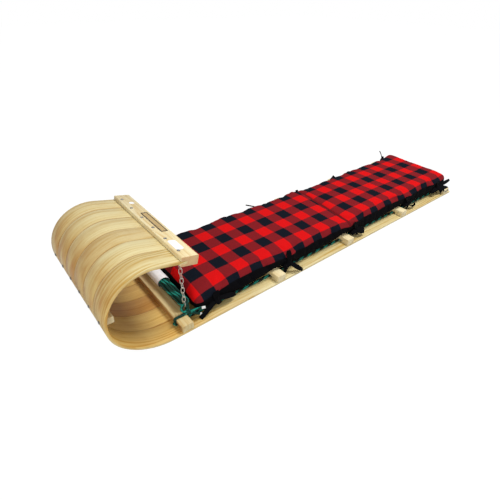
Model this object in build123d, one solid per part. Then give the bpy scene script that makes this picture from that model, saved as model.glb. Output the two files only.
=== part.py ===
from build123d import *
import math
import os

# A flat-bottomed wooden toboggan: six thin boards run its whole length and curl up and over at the
# front into a grooved head slat. Five cross slats and a nose batten tie the boards together, two
# chains hold the curl down, ropes run along both sides, and a long cushion is tied on top.
# Frame: origin on the floor under the middle of the deck, X across (+X is the sled's left),
# the curl at -Y, Z up. Millimetres.

# ---------------------------------------------------------------- boards
overall_length = 1829.0
deck_width = 457.2
board_count = 6
board_thickness = 9.0
board_gap = 0.8
low_bend_radius = 205.0         # outer face, from the deck up
low_bend_angle = 47.3
high_bend_radius = 133.7        # outer face, over the top
tail_tilt = 13.0                # the straight tail slopes down to the rear by this angle
tail_length = 70.0              # from the end of the bend to the head slat's front face

# ---------------------------------------------------------------- cross slats
slat_count = 5
slat_width = 38.0
slat_height = 26.0
slat_edge_radius = 3.0
first_slat_setback = 26.0       # from where the bend starts to the first slat
rear_margin = 27.0              # deck left bare behind the last slat
notch_inset = 45.0              # middle of the rope notch, in from the deck's side
notch_width = 22.0
notch_height = 9.6

# ---------------------------------------------------------------- head slat, nose batten, plate
head_width = 54.0
head_height = 30.0
head_upper_lip = 13.0           # wood above the groove
head_edge_radius = 3.0
groove_depth = 20.0
groove_clearance = 0.15
batten_width = 21.0             # along the bend
batten_depth = 26.0
batten_inset = 28.0             # its ends stop short of the deck's sides
batten_angle = 91.0             # place on the curl, from the lowest point round to the front
batten_edge_radius = 2.0
seat_clearance = 0.1
plate_length = 142.0
plate_width = 22.0
plate_thickness = 1.0
plate_setback = 22.0            # behind the head slat's front edge

# ---------------------------------------------------------------- chains and their eyes
chain_inset = 44.0
chain_wire = 2.4
wire_side_count = 6             # sides of the wire's section
bend_flat_count = 6             # flats in each bend of a link
link_count = 9
link_inner_width = 8.4
link_clearance = 0.2
eye_radius = 6.0                # middle of the eye's wire
eye_wire = 3.0
eye_flat_count = 12
eye_neck = 2.0                  # wood face to the eye's ring
eye_shank = 7.0
shank_clearance = 0.1
head_eye_setback = 20.0         # behind the head slat's front edge

# ---------------------------------------------------------------- ropes
rope_diameter = 8.0
rope_clearance = 0.3
turn_corner_radius = 6.0
knot_width = 19.0
bight_radius = 11.0             # the standing loop that holds the chain's last link
bight_lift = 16.0               # slat's top to the bottom of the loop's middle line
hank_width = 38.0
hank_height = 32.0
lead_length = 20.0              # knot to hank, across the sled
# the tow rope's two ends stand away from the knot: outwards, to the rear and up
rope_ends = [(27.5, 46.0, 12.0), (11.0, 40.0, -18.0)]
sleeve_length = 140.0
sleeve_thickness = 0.8
sleeve_gap = 0.3
sleeve_shift = -48.0            # the sleeve sits a little to the right of the middle

# ---------------------------------------------------------------- cushion and its ties
cushion_left_margin = 25.6      # deck's left side to cushion
cushion_right_margin = 76.0     # deck's right side to cushion, which is tied off the middle
cushion_rear_margin = 23.0      # deck's rear end to cushion
cushion_front_gap = 26.0        # first slat to cushion
cushion_height = 60.0
cushion_edge_radius = 24.0
cushion_seat_gap = 0.3
tie_width = 24.0
tie_thickness = 2.0
tie_height = 84.0
tie_clearance = 0.3
first_tie_setback = 105.0       # first slat to the middle of the first tie
tie_spare = 4.0                 # slat to the bow beside it, for the other ties
bow_length = 72.0
bow_width = 30.0
bow_height = 22.0
bow_lift = 3.0                  # off the deck

# ---------------------------------------------------------------- places worked out from the sizes
front_y = -overall_length / 2
rear_y = overall_length / 2
half_width = deck_width / 2
deck_top = board_thickness
slat_top = deck_top + slat_height
low_angle = math.radians(low_bend_angle)
tilt = math.radians(tail_tilt)
curl_y = front_y + high_bend_radius
bend_start_y = curl_y + (low_bend_radius - high_bend_radius) * math.sin(low_angle)
curl_z = low_bend_radius - (low_bend_radius - high_bend_radius) * math.cos(low_angle)
first_slat_y = bend_start_y + first_slat_setback
slat_pitch = (rear_y - rear_margin - slat_width - first_slat_y) / (slat_count - 1)
rope_x = half_width - notch_inset
side_rope_x = rope_x - rope_diameter / 2 - rope_clearance
lashing_x = rope_x + rope_diameter / 2 + rope_clearance
chain_x = half_width - chain_inset
rope_z = deck_top + rope_diameter / 2 + rope_clearance
cushion_front_y = first_slat_y + slat_width + cushion_front_gap
cushion_length = rear_y - cushion_rear_margin - cushion_front_y
cushion_width = deck_width - cushion_left_margin - cushion_right_margin
cushion_x = (cushion_right_margin - cushion_left_margin) / 2
cushion_bottom = slat_top + cushion_seat_gap
hank_length = 2 * (chain_x - lead_length)


def slat_front(number):
    return first_slat_y + slat_pitch * number


def on_curl(angle, depth):
    """Point of the curl, depth below its outer face; angle from the lowest point, in radians."""
    if angle <= low_angle:
        reach = low_bend_radius - depth
        return (bend_start_y - reach * math.sin(angle), low_bend_radius - reach * math.cos(angle))
    reach = high_bend_radius - depth
    return (curl_y - reach * math.sin(angle), curl_z - reach * math.cos(angle))


def along_tail(distance, depth):
    """Point of the straight tail, past the end of the bend and below the outer face."""
    y, z = on_curl(math.pi + tilt, depth)
    return (y + distance * math.cos(tilt), z - distance * math.sin(tilt))


def tail_plane(distance, depth):
    """Plane across the tail at a point: its Y is up and out of the board, its Z along the tail."""
    y, z = along_tail(distance, depth)
    return Plane(origin=(0, y, z), x_dir=(-1, 0, 0), z_dir=(0, math.cos(tilt), -math.sin(tilt)))


# ---------------------------------------------------------------- pieces
def board_edge(depth, end):
    """The bent line of a board, depth below its outer face, from the rear to the tail's end."""
    top_angle = math.pi + tilt
    middle = (low_angle + top_angle) / 2
    return [
        Line((rear_y, depth), (bend_start_y, depth)),
        ThreePointArc((bend_start_y, depth), on_curl(low_angle / 2, depth), on_curl(low_angle, depth)),
        ThreePointArc(on_curl(low_angle, depth), on_curl(middle, depth), on_curl(top_angle, depth)),
        Line(on_curl(top_angle, depth), along_tail(end, depth)),
    ]


def deck_boards():
    end = tail_length + groove_depth - groove_clearance
    board_width = (deck_width - board_gap * (board_count - 1)) / board_count
    sides = board_edge(0, end) + board_edge(board_thickness, end)
    sides.append(Line((rear_y, 0), (rear_y, board_thickness)))
    sides.append(Line(along_tail(end, 0), along_tail(end, board_thickness)))
    face = make_face(Plane.YZ * Curve(sides))
    board = extrude(face, board_width, dir=(1, 0, 0))
    return [Pos(-half_width + number * (board_width + board_gap), 0, 0) * board
            for number in range(board_count)]


def cross_slat(number):
    middle = slat_front(number) + slat_width / 2
    bar = Pos(0, middle, deck_top + slat_height / 2) * Box(deck_width, slat_width, slat_height)
    bar = fillet(bar.edges().filter_by(Axis.X).group_by(Axis.Z)[-1], slat_edge_radius)
    for side in (-1, 1):
        notch = Box(notch_width, slat_width * 2, notch_height * 2)
        bar -= Pos(side * rope_x, middle, deck_top) * notch
    return bar


def head_slat():
    lower_lip = head_height - head_upper_lip - board_thickness
    frame = tail_plane(tail_length, 0)
    middle = (head_upper_lip - board_thickness - lower_lip) / 2
    bar = frame * (Pos(0, middle, head_width / 2) * Box(deck_width, head_height, head_width))
    bar = fillet(bar.edges().filter_by(Axis.X), head_edge_radius)
    groove = Box(deck_width * 2, board_thickness + 2 * groove_clearance, groove_depth * 2)
    bar -= frame * (Pos(0, -board_thickness / 2, 0) * groove)
    for side in (-1, 1):
        bar -= head_eye_hole(side)
    return bar


def nose_batten():
    angle = math.radians(batten_angle)
    y, z = on_curl(angle, board_thickness + seat_clearance)
    inward = (0, math.sin(angle), math.cos(angle))
    frame = Plane(origin=(0, y, z), x_dir=(1, 0, 0), z_dir=inward)
    length = deck_width - 2 * batten_inset
    bar = Box(length, batten_width, batten_depth * 2)
    bar = fillet(bar.edges().filter_by(Axis.X), batten_edge_radius)
    hollow = Pos(0, curl_y, curl_z) * Rot(0, 90, 0) * Cylinder(
        high_bend_radius - board_thickness - seat_clearance, deck_width)
    return (frame * bar) & hollow


def name_plate():
    frame = tail_plane(tail_length, -head_upper_lip)
    middle = plate_setback + plate_width / 2
    plate = Box(plate_length, plate_thickness, plate_width)
    return frame * (Pos(0, plate_thickness / 2, middle) * plate)


# ---------------------------------------------------------------- chains
def head_eye_base(side):
    """Where the eye leaves the head slat's underside."""
    lower_lip = head_height - head_upper_lip - board_thickness
    y, z = along_tail(tail_length + head_eye_setback, board_thickness + lower_lip)
    return Vector(side * chain_x, y, z)


def bight_centre(side):
    """Middle of the rope's standing loop, straight below the eye."""
    return Vector(side * chain_x, head_eye_base(side).Y, slat_top + bight_lift + bight_radius)


def head_eye_hole(side):
    hole = Cylinder(eye_wire / 2 + shank_clearance, 2 * (eye_shank + shank_clearance))
    return Pos(*head_eye_base(side)) * hole


def bent_wire(points, wire):
    """Wire of a faceted section along points in the XZ plane, from the first to the last."""
    start = Plane(origin=points[0], z_dir=points[1] - points[0])
    section = start * RegularPolygon(wire / 2, wire_side_count)
    return sweep(section, path=Polyline(*points), transition=Transition.RIGHT)


def arch(bend, leg, flats):
    """Points of a half loop: up a leg, over a bend whose flats touch the round bend, and down."""
    bend = bend / math.cos(math.pi / (2 * flats))
    around = [math.pi * number / flats for number in range(flats + 1)]
    over = [Vector(bend * math.cos(angle), 0, leg + bend * math.sin(angle)) for angle in around]
    return [Vector(bend, 0, 0)] + over + [Vector(-bend, 0, 0)]


def screw_eye(side):
    """A ring of wire on a shank; its plane crosses that of the chain's first link."""
    turn = 90 * (link_count % 2)
    top = bent_wire(arch(eye_radius, eye_wire, eye_flat_count // 2), eye_wire)
    ring = top + mirror(top, Plane.XY)
    ring = Pos(0, 0, -eye_neck - eye_radius - eye_wire) * ring
    shank = extrude(Pos(0, 0, -eye_neck - eye_wire) * RegularPolygon(eye_wire / 2, wire_side_count),
                    eye_neck + eye_wire + eye_shank)
    return Pos(*head_eye_base(side)) * Rot(0, 0, turn) * (ring + shank)


def chain_link(inner_length):
    """One link, standing along Z and open towards Y."""
    bend = (link_inner_width + chain_wire) / 2
    top = bent_wire(arch(bend, (inner_length - link_inner_width) / 2, bend_flat_count), chain_wire)
    return top + mirror(top, Plane.XY)


def chain(side):
    """Links from the head slat's eye down to the rope's standing loop; the last is open towards Y."""
    top = head_eye_base(side).Z - eye_neck - 2 * eye_radius - 2 * eye_wire + eye_wire / 2
    bottom = bight_centre(side).Z + bight_radius - rope_diameter / 2
    inner_length = (top - bottom + (link_count + 1) * link_clearance) / link_count
    pitch = inner_length - link_clearance
    link = chain_link(inner_length)
    first = top + link_clearance - inner_length / 2
    x, y, _ = head_eye_base(side)
    return [Pos(x, y, first - number * pitch) * Rot(0, 0, 90 * ((link_count - 1 - number) % 2)) * link
            for number in range(link_count)]


# ---------------------------------------------------------------- ropes
def knot_centre(side):
    """The knot sits on the first slat's top rear corner."""
    reach = (knot_width / 2 + rope_clearance) / math.sqrt(2)
    return Vector(side * (lashing_x + chain_x) / 2, first_slat_y + slat_width + reach, slat_top + reach)


def lashing(side):
    """The rope's turn round the first slat, the knot behind it and the loop that holds the chain."""
    stand_off = rope_clearance + rope_diameter / 2
    front = first_slat_y - stand_off
    rear = first_slat_y + slat_width + stand_off
    high = slat_top + stand_off
    x = side * lashing_x
    corners = [(x, front, rope_z), (x, front, high), (x, rear, high), (x, rear, rope_z)]
    path = FilletPolyline(*corners, radius=turn_corner_radius, close=True)
    section = Plane(origin=(x, front, (rope_z + high) / 2), z_dir=(0, 0, 1)) * Circle(rope_diameter / 2)
    knot = knot_centre(side)
    rope = sweep(section, path=path) + Pos(*knot) * Sphere(knot_width / 2)
    rope += Pos(*bight_centre(side)) * Rot(0, 90, 0) * Torus(bight_radius, rope_diameter / 2)
    for out, back, up in rope_ends:
        run = Vector(side * out, back, up)
        rope += Plane(origin=knot + run * 0.5, z_dir=run.normalized()) * Cylinder(
            rope_diameter / 2, run.length)
    return rope


def side_rope(side):
    """A straight rope through the notches, with a stopper knot behind the last slat."""
    start = first_slat_y - rope_diameter
    end = slat_front(slat_count - 1) + slat_width + rope_clearance + knot_width / 2
    middle = (start + end) / 2
    rope = Rot(90, 0, 0) * Cylinder(rope_diameter / 2, end - start)
    knot = Pos(side * side_rope_x, end, deck_top + rope_clearance + knot_width / 2)
    return Pos(side * side_rope_x, middle, rope_z) * rope + knot * Sphere(knot_width / 2)


def hank_place():
    """The hank lies on the first slat's rear top edge and against the cushion's front."""
    spare = sleeve_gap + sleeve_thickness + rope_clearance
    half_width_out = hank_width / 2 + spare
    half_height_out = hank_height / 2 + spare
    y = cushion_front_y - half_width_out
    over = (first_slat_y + slat_width - y) / half_width_out
    z = slat_top + half_height_out * math.sqrt(1 - over ** 2)
    return y, z


def hank_section(grow):
    return Ellipse(hank_width / 2 + grow, hank_height / 2 + grow)


def hank():
    """The tow rope folded into a hank, as the closed shape of its outside."""
    y, z = hank_place()
    frame = Plane(origin=(-hank_length / 2, y, z), x_dir=(0, 1, 0), z_dir=(1, 0, 0))
    return extrude(frame * hank_section(0), hank_length)


def sleeve():
    """A paper band round the hank."""
    y, z = hank_place()
    start = sleeve_shift - sleeve_length / 2
    frame = Plane(origin=(start, y, z), x_dir=(0, 1, 0), z_dir=(1, 0, 0))
    ring = hank_section(sleeve_gap + sleeve_thickness) - hank_section(sleeve_gap)
    return extrude(frame * ring, sleeve_length)


def tow_lead(side):
    """The short stretch of the tow rope between its knot and the hank's end."""
    knot = knot_centre(side)
    y, z = hank_place()
    end = Vector(side * (hank_length / 2 + rope_clearance), y, z)
    run = end - knot
    tube = Plane(origin=knot + run * 0.5, z_dir=run.normalized()) * Cylinder(rope_diameter / 2, run.length)
    tube -= Pos(*knot) * Sphere(knot_width / 2 + rope_clearance)
    beyond = Pos(0, y, z) * Box(hank_length + 2 * rope_clearance, hank_width, hank_height)
    return tube - beyond


def cushion():
    block = Box(cushion_width, cushion_length, cushion_height)
    block = fillet(block.edges(), cushion_edge_radius)
    return Pos(cushion_x, cushion_front_y + cushion_length / 2, cushion_bottom + cushion_height / 2) * block


def cushion_tie(side, number):
    """A tape down the cushion's side and out over the side rope, knotted in a bow beyond it."""
    y = slat_front(number) + slat_width + tie_spare + bow_length / 2
    if number == 0:
        y = first_slat_y + slat_width + first_tie_setback
    if number == slat_count - 1:
        y = slat_front(number) - tie_spare - bow_length / 2
    tape_x = cushion_width / 2 + side * cushion_x + tie_clearance + tie_thickness / 2
    bow_x = side_rope_x + rope_diameter / 2 + tie_clearance + bow_width / 2
    low = deck_top + bow_lift
    arm_length = abs(bow_x - tape_x) + tie_thickness
    tape = Pos(side * tape_x, y, low + tie_height / 2) * Box(tie_thickness, tie_width, tie_height)
    arm = Pos(side * (tape_x + bow_x) / 2, y, low + bow_height / 2) * Box(arm_length, tie_width, tie_thickness)
    bow = Pos(side * bow_x, y, low + bow_height / 2) * Box(bow_width, bow_length, bow_height)
    return tape + arm + bow


# ---------------------------------------------------------------- one file for each piece
sides = {"left": 1, "right": -1}
pieces = {
    "nose_batten": nose_batten(),
    "head_slat": head_slat(),
    "name_plate": name_plate(),
    "screw_eyes": Compound([screw_eye(side) for side in sides.values()]),
    "tow_rope_hank": hank(),
    "paper_sleeve": sleeve(),
    "cushion": cushion(),
}
for number, board in enumerate(deck_boards(), 1):
    pieces[f"deck_board_{number}"] = board
for number in range(slat_count):
    pieces[f"cross_slat_{number + 1}"] = cross_slat(number)
for name, side in sides.items():
    pieces[f"chain_{name}"] = Compound(chain(side))
    pieces[f"side_rope_{name}"] = side_rope(side)
    pieces[f"lashing_{name}"] = lashing(side)
    pieces[f"tow_lead_{name}"] = tow_lead(side)
    pieces[f"cushion_ties_{name}"] = Compound([cushion_tie(side, n) for n in range(slat_count)])

os.makedirs("parts", exist_ok=True)
for name, solid in pieces.items():
    export_step(solid, f"parts/{name}.step")
print("bend starts", round(bend_start_y, 1), "first slat", round(first_slat_y, 1))
print("slat pitch", round(slat_pitch, 1), "curl height", round(curl_z + high_bend_radius, 1))
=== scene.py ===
# %% [markdown]
# # A wooden toboggan with a plaid cushion
# The toboggan is a flat deck of six thin ash boards, steam-bent into a curl at the front. Cross
# slats hold the boards together, two chains hold the curl down, and a long cushion is tied on top.
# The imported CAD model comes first: it is the frame in which every piece below is placed, in metres.

# %% Load the frame
import math

import bmesh
import bpy
from bmesh.types import BMEdge, BMFace, BMVert
from mathutils import Matrix, Vector, noise


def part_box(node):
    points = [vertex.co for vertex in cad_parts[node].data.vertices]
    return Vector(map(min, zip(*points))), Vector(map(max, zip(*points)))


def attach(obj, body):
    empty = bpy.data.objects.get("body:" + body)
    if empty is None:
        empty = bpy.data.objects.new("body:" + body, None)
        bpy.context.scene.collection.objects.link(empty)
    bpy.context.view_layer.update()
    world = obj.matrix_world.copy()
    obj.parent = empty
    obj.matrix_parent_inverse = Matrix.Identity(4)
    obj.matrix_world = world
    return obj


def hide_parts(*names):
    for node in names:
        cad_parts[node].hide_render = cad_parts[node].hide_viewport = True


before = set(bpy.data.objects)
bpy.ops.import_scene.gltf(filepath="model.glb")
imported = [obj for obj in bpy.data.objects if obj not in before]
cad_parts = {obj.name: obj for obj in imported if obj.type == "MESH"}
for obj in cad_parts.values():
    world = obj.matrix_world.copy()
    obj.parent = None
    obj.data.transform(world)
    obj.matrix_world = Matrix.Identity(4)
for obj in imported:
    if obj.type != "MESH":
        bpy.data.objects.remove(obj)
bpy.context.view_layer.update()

# %% [markdown]
# ## Sizes that several pieces share
# The toboggan lies along Y with its curl at the negative end. The curl is two bends that run into
# each other: a wide one that leaves the floor, and a tighter one that comes round over the top.
# Then a short straight tail goes into the head slat's groove, below a lip of wood.

# %% Shared sizes
deck_width, board_thickness, board_gap = 0.4572, 0.009, 0.0008
board_width = (deck_width - 5 * board_gap) / 6
rear_y, bend_start_y = 0.9145, -0.7284
low_bend_radius, low_bend = 0.205, math.radians(47.3)
high_bend_radius, curl_y, curl_z = 0.1337, -0.7808, 0.15665
tail_tilt, tail_length = math.radians(13.0), 0.070
slat_fronts = [-0.7024 + 0.387975 * number for number in range(5)]
board_middles = [-0.1905 + 0.0762 * number for number in range(6)]
slat_width = 0.038
head_lip = 0.013
groove_reach = 0.0198
print("board width", round(board_width, 4), "slats start at", [round(y, 3) for y in slat_fronts])

# %% [markdown]
# ## From a bmesh to a finished piece
# Every piece goes through the same last steps, so each step is one function. Edges that turn by
# more than a set angle stay crisp, and the rest is shaded smooth, as planed and sanded wood is.

# %% Finish a piece
def add_object(name, data):
    made = bpy.data.objects.new(name, data)
    bpy.context.collection.objects.link(made)
    return made


def mesh_from(bm, name):
    """The bmesh as a mesh. The bmesh itself is freed."""
    mesh = bpy.data.meshes.new(name)
    bm.to_mesh(mesh)
    bm.free()
    return mesh


def place_piece(piece, stands_for):
    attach(piece, "root")
    if stands_for:
        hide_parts(*stands_for)
    return piece


def finish_piece(name, bm, materials, stands_for=(), crisp=35.0):
    """A bmesh made into a named piece that rides on the toboggan."""
    for edge in bm.edges:
        edge.smooth = len(edge.link_faces) == 2 and edge.calc_face_angle(0) < math.radians(crisp)
    for face in bm.faces:
        face.smooth = True
    mesh = mesh_from(bm, name)
    for material in materials:
        mesh.materials.append(material)
    return place_piece(add_object(name, mesh), stands_for)


def note_vectors(mesh, name, values):
    """One vector for each point of a mesh, kept for its material."""
    kept = mesh.attributes.new(name, "FLOAT_VECTOR", "POINT")
    kept.data.foreach_set("vector", [number for value in values for number in value])


def note_numbers(mesh, name, values):
    mesh.attributes.new(name, "FLOAT", "POINT").data.foreach_set("value", values)

# %% Shape helpers
def only(kind, items):
    return [item for item in items if isinstance(item, kind)]


def move(bm, points, way):
    bmesh.ops.translate(bm, verts=points, vec=way)


def round_off(bm, geometry, offset, segments, affect="EDGES", clamp=False):
    """Rounds edges, or corners, in a number of small steps."""
    bmesh.ops.bevel(bm, geom=geometry, offset=offset, offset_type="OFFSET", segments=segments,
                    profile=0.5, affect=affect, material=-1, clamp_overlap=clamp)


def upright_disc(bm, radius, depth, sides, top_radius=None):
    """A closed disc or stub that stands round the origin; gives back its points."""
    return bmesh.ops.create_cone(bm, cap_ends=True, cap_tris=False, segments=sides, radius1=radius,
                                 radius2=top_radius or radius, depth=depth)["verts"]


def sink(bm, face, margin, depth=0.0):
    """Insets a face by a margin and moves it in by a depth."""
    bmesh.ops.inset_region(bm, faces=[face], thickness=margin, depth=-depth)


def top_face(bm):
    return max(bm.faces, key=lambda face: face.calc_center_median().z)


def rise(edge):
    """How much higher one end of an edge is than the other."""
    return abs(edge.verts[0].co.z - edge.verts[1].co.z)


def mesh_of(curve):
    """The mesh that a curve's bevel, or the bare curve, makes."""
    holder = bpy.data.objects.new("curve", curve)
    mesh = bpy.data.meshes.new_from_object(holder)
    bpy.data.objects.remove(holder)
    return mesh


def clamped(value):
    """The value, kept between 0 and 1."""
    return min(max(value, 0.0), 1.0)


def bell(distance, width):
    """1 at no distance, and almost nothing from two widths on."""
    return math.exp(-(distance / width) ** 2)


def mirrored(points, side):
    return [Vector((side * x, y, z)) for x, y, z in points]


def noise_of(x, y, z):
    """A smooth random number, from about -1 to 1, that is always the same for the same place."""
    return noise.noise(Vector((x, y, z)))


print("a bell falls to", round(bell(1, 1), 3), "at one width and", round(bell(2, 1), 3), "at two")

# %% [markdown]
# ## Building node trees
# Materials are small graphs of nodes. These helpers add one node, or one sum, and link its inputs,
# so that a recipe further down reads from top to bottom.

# %% Node helpers
def add_node(tree, kind, settings=None, inputs=None):
    made = tree.nodes.new("ShaderNode" + kind)
    for name, value in (settings or {}).items():
        setattr(made, name, value)
    for name, value in (inputs or {}).items():
        if isinstance(value, bpy.types.NodeSocket):
            tree.links.new(value, made.inputs[name])
        else:
            made.inputs[name].default_value = value
    return made


def work_out(tree, operation, *values, clamp=False):
    """A Math node's result."""
    inputs = dict(enumerate(values))
    return add_node(tree, "Math", {"operation": operation, "use_clamp": clamp}, inputs).outputs[0]


def times(tree, first, second):
    return work_out(tree, "MULTIPLY", first, second)


def plus(tree, first, second, clamp=False):
    return work_out(tree, "ADD", first, second, clamp=clamp)


def minus(tree, first, second):
    return work_out(tree, "SUBTRACT", first, second)


def size_of(tree, value):
    """A value without its sign."""
    return work_out(tree, "ABSOLUTE", value)


def vector_sum(tree, operation, first, second):
    made = add_node(tree, "VectorMath", {"operation": operation}, {0: first, 1: second})
    return made.outputs["Vector"]


def mix_colours(tree, share, first, second, way="MIX"):
    made = add_node(tree, "Mix", {"data_type": "RGBA", "blend_type": way}, {0: share, 6: first, 7: second})
    return made.outputs[2]


def step_up(tree, value, start, end, low=0.0, high=1.0):
    """A value that climbs smoothly from low to high between start and end."""
    settings = {"interpolation_type": "SMOOTHSTEP"}
    inputs = {"Value": value, "From Min": start, "From Max": end, "To Min": low, "To Max": high}
    return add_node(tree, "MapRange", settings, inputs).outputs["Result"]


def noise_at(tree, place, scale, detail, roughness=0.5):
    inputs = {"Vector": place, "Scale": scale, "Detail": detail, "Roughness": roughness}
    return add_node(tree, "TexNoise", None, inputs).outputs["Fac"]


def new_group(name, inputs, outputs):
    """An empty node group with its named sockets, and its input and output nodes."""
    group = bpy.data.node_groups.new(name, "ShaderNodeTree")
    for label, kind, value in inputs:
        socket = group.interface.new_socket(label, in_out="INPUT", socket_type="NodeSocket" + kind)
        if value is not None:
            socket.default_value = value
    for label, kind in outputs:
        group.interface.new_socket(label, in_out="OUTPUT", socket_type="NodeSocket" + kind)
    return group, group.nodes.new("NodeGroupInput"), group.nodes.new("NodeGroupOutput")


def new_material(name, **shader_values):
    """A material with its Principled shader set; names use _ for a space."""
    material = bpy.data.materials.new(name)
    material.use_nodes = True
    shader = material.node_tree.nodes["Principled BSDF"]
    for label, value in shader_values.items():
        shader.inputs[label.replace("_", " ")].default_value = value
    return material, material.node_tree, shader


def use_group(tree, group, inputs):
    return add_node(tree, "Group", {"node_tree": group}, inputs)


def attribute(tree, name, kind="Fac"):
    """What note_vectors or note_numbers kept."""
    return add_node(tree, "Attribute", {"attribute_name": name}).outputs[kind]


def own_place(tree):
    """A point's place in its piece's own coordinates."""
    return add_node(tree, "TexCoord").outputs["Object"]


def parts_of(tree, vector):
    return add_node(tree, "SeparateXYZ", None, {"Vector": vector}).outputs


def link_up(tree, node, **results):
    """Links results to a node's inputs; names use _ for a space."""
    for label, result in results.items():
        tree.links.new(result, node.inputs[label.replace("_", " ")])


def add_bump(tree, shader, height, strength, distance):
    inputs = {"Height": height, "Strength": strength, "Distance": distance}
    link_up(tree, shader, Normal=add_node(tree, "Bump", None, inputs).outputs["Normal"])

# %% [markdown]
# ## Ash wood
# Ash is pale, with growth rings that start in a line of open pores. On a flat-sawn board the rings
# show as long uneven stripes and pointed arches. The group works in the wood's own directions:
# X across the board, Y along the grain and Z into it. It wobbles that place with noise, measures
# rings round an axis that leans a little out of the board, and adds streaks, patches and pores.
# Each board also has its own look: how golden it is, how much brown heartwood it has, and how
# strongly its rings show. Heartwood shows fully on the board's top face, which is the inside of the
# curl, and less on its underside: partly painted shade. A warmer, darker tone inside the curl and round
# the tight bend is painted shade, and there are patches of a deeper orange where the bend is hardest.

# %% Ash grain group
def make_ash_grain():
    group, given, result = new_group("Ash grain", [
        ("Place", "Vector", None), ("Golden share", "Float", 0.5), ("Heartwood and shade", "Float", 0.0),
        ("Ring strength", "Float", 0.5), ("Bend orange marks", "Float", 0.0), ("Painted curl shade", "Float", 0.0),
        ("Across", "Float", 0.0),
        ("Pale", "Color", (0.75, 0.60, 0.33, 1)), ("Golden", "Color", (0.55, 0.34, 0.11, 1)),
    ], [("Color", "Color"), ("Height", "Float"), ("Roughness", "Float")])
    asked = given.outputs
    place = asked["Place"]

    def stretched(across, along, detail, roughness=0.5):
        longer = vector_sum(group, "MULTIPLY", place, (across, along, across))
        return noise_at(group, longer, 1.0, detail, roughness)

    slow = vector_sum(group, "MULTIPLY", place, (13.0, 2.4, 13.0))
    wobble = add_node(group, "TexNoise", None, {"Vector": slow, "Scale": 1.0, "Detail": 2.0})
    wobble = vector_sum(group, "SUBTRACT", wobble.outputs["Color"], (0.5, 0.5, 0.5))
    wobble = vector_sum(group, "MULTIPLY", wobble, (0.06, 0.0, 0.04))
    lean = add_node(group, "Mapping", None, {"Vector": place, "Rotation": (0.045, 0.0, 0.014),
                                             "Location": (0.013, 0.0, 0.031)}).outputs["Vector"]
    ring_place = vector_sum(group, "ADD", lean, wobble)

    def ring_lines(scale):
        look = {"wave_type": "RINGS", "rings_direction": "Y", "wave_profile": "SAW"}
        rings = add_node(group, "TexWave", look, {
            "Vector": ring_place, "Scale": scale, "Distortion": 0.9, "Detail": 2.0, "Detail Scale": 0.25})
        return step_up(group, rings.outputs["Fac"], 0.30, 1.0)

    def toned(tone):
        return mix_colours(group, 1.0, colour, tone, "MULTIPLY")

    broad, fine = ring_lines(25.0), ring_lines(84.0)
    broad = times(group, broad, step_up(group, stretched(34.0, 1.9, 2.0), 0.40, 0.62, 0.12, 1.0))
    pores = times(group, step_up(group, stretched(1500.0, 60.0, 1.0), 0.60, 0.72), fine)
    patches = step_up(group, stretched(23.0, 6.5, 3.0, 0.6), 0.40, 0.66)
    streaks = step_up(group, stretched(75.0, 2.0, 4.0, 0.6), 0.36, 0.68, 0.0, 0.36)
    share = times(group, broad, asked["Ring strength"])
    share = plus(group, share, times(group, fine, 0.12))
    share = plus(group, share, streaks)
    share = plus(group, share, times(group, patches, 0.30))
    share = plus(group, share, minus(group, asked["Golden share"], 0.5), clamp=True)
    colour = mix_colours(group, share, asked["Pale"], asked["Golden"])
    # patches of a deeper orange round the tight bend
    marks = times(group, asked["Bend orange marks"], patches)
    colour = mix_colours(group, marks, colour, (0.50, 0.25, 0.05, 1))
    brown = toned((0.60, 0.36, 0.22, 1))
    # heartwood is full on the top face, which is the inside of the curl, and weaker on the underside: partly
    # painted shade
    heart = step_up(group, stretched(30.0, 1.2, 3.0, 0.6), 0.2, 0.6, 0.45, 1.0)
    heart = times(group, heart, step_up(group, parts_of(group, place)["Z"], 0.0, board_thickness, 0.30, 1.0))
    colour = mix_colours(group, times(group, asked["Heartwood and shade"], heart), colour, brown)
    # painted shade: a warmer, darker tone inside the curl and round the tight bend
    colour = mix_colours(group, asked["Painted curl shade"], colour, toned((1.0, 0.78, 0.40, 1)))
    rim = step_up(group, size_of(group, asked["Across"]), 0.945, 0.99, 0.0, 0.75)
    rim = times(group, rim, step_up(group, stretched(9.0, 5.0, 2.0), 0.38, 0.60, 0.15, 1.0))
    colour = mix_colours(group, rim, colour, brown)
    colour = mix_colours(group, times(group, pores, 0.6), colour, toned((0.62, 0.50, 0.38, 1)))
    height = minus(group, times(group, broad, -0.25), pores)
    rough = plus(group, 0.34, times(group, pores, 0.25))
    link_up(group, result, Color=colour, Height=height, Roughness=rough)
    return group


ash_grain = make_ash_grain()
print("group", ash_grain.name)
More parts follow.
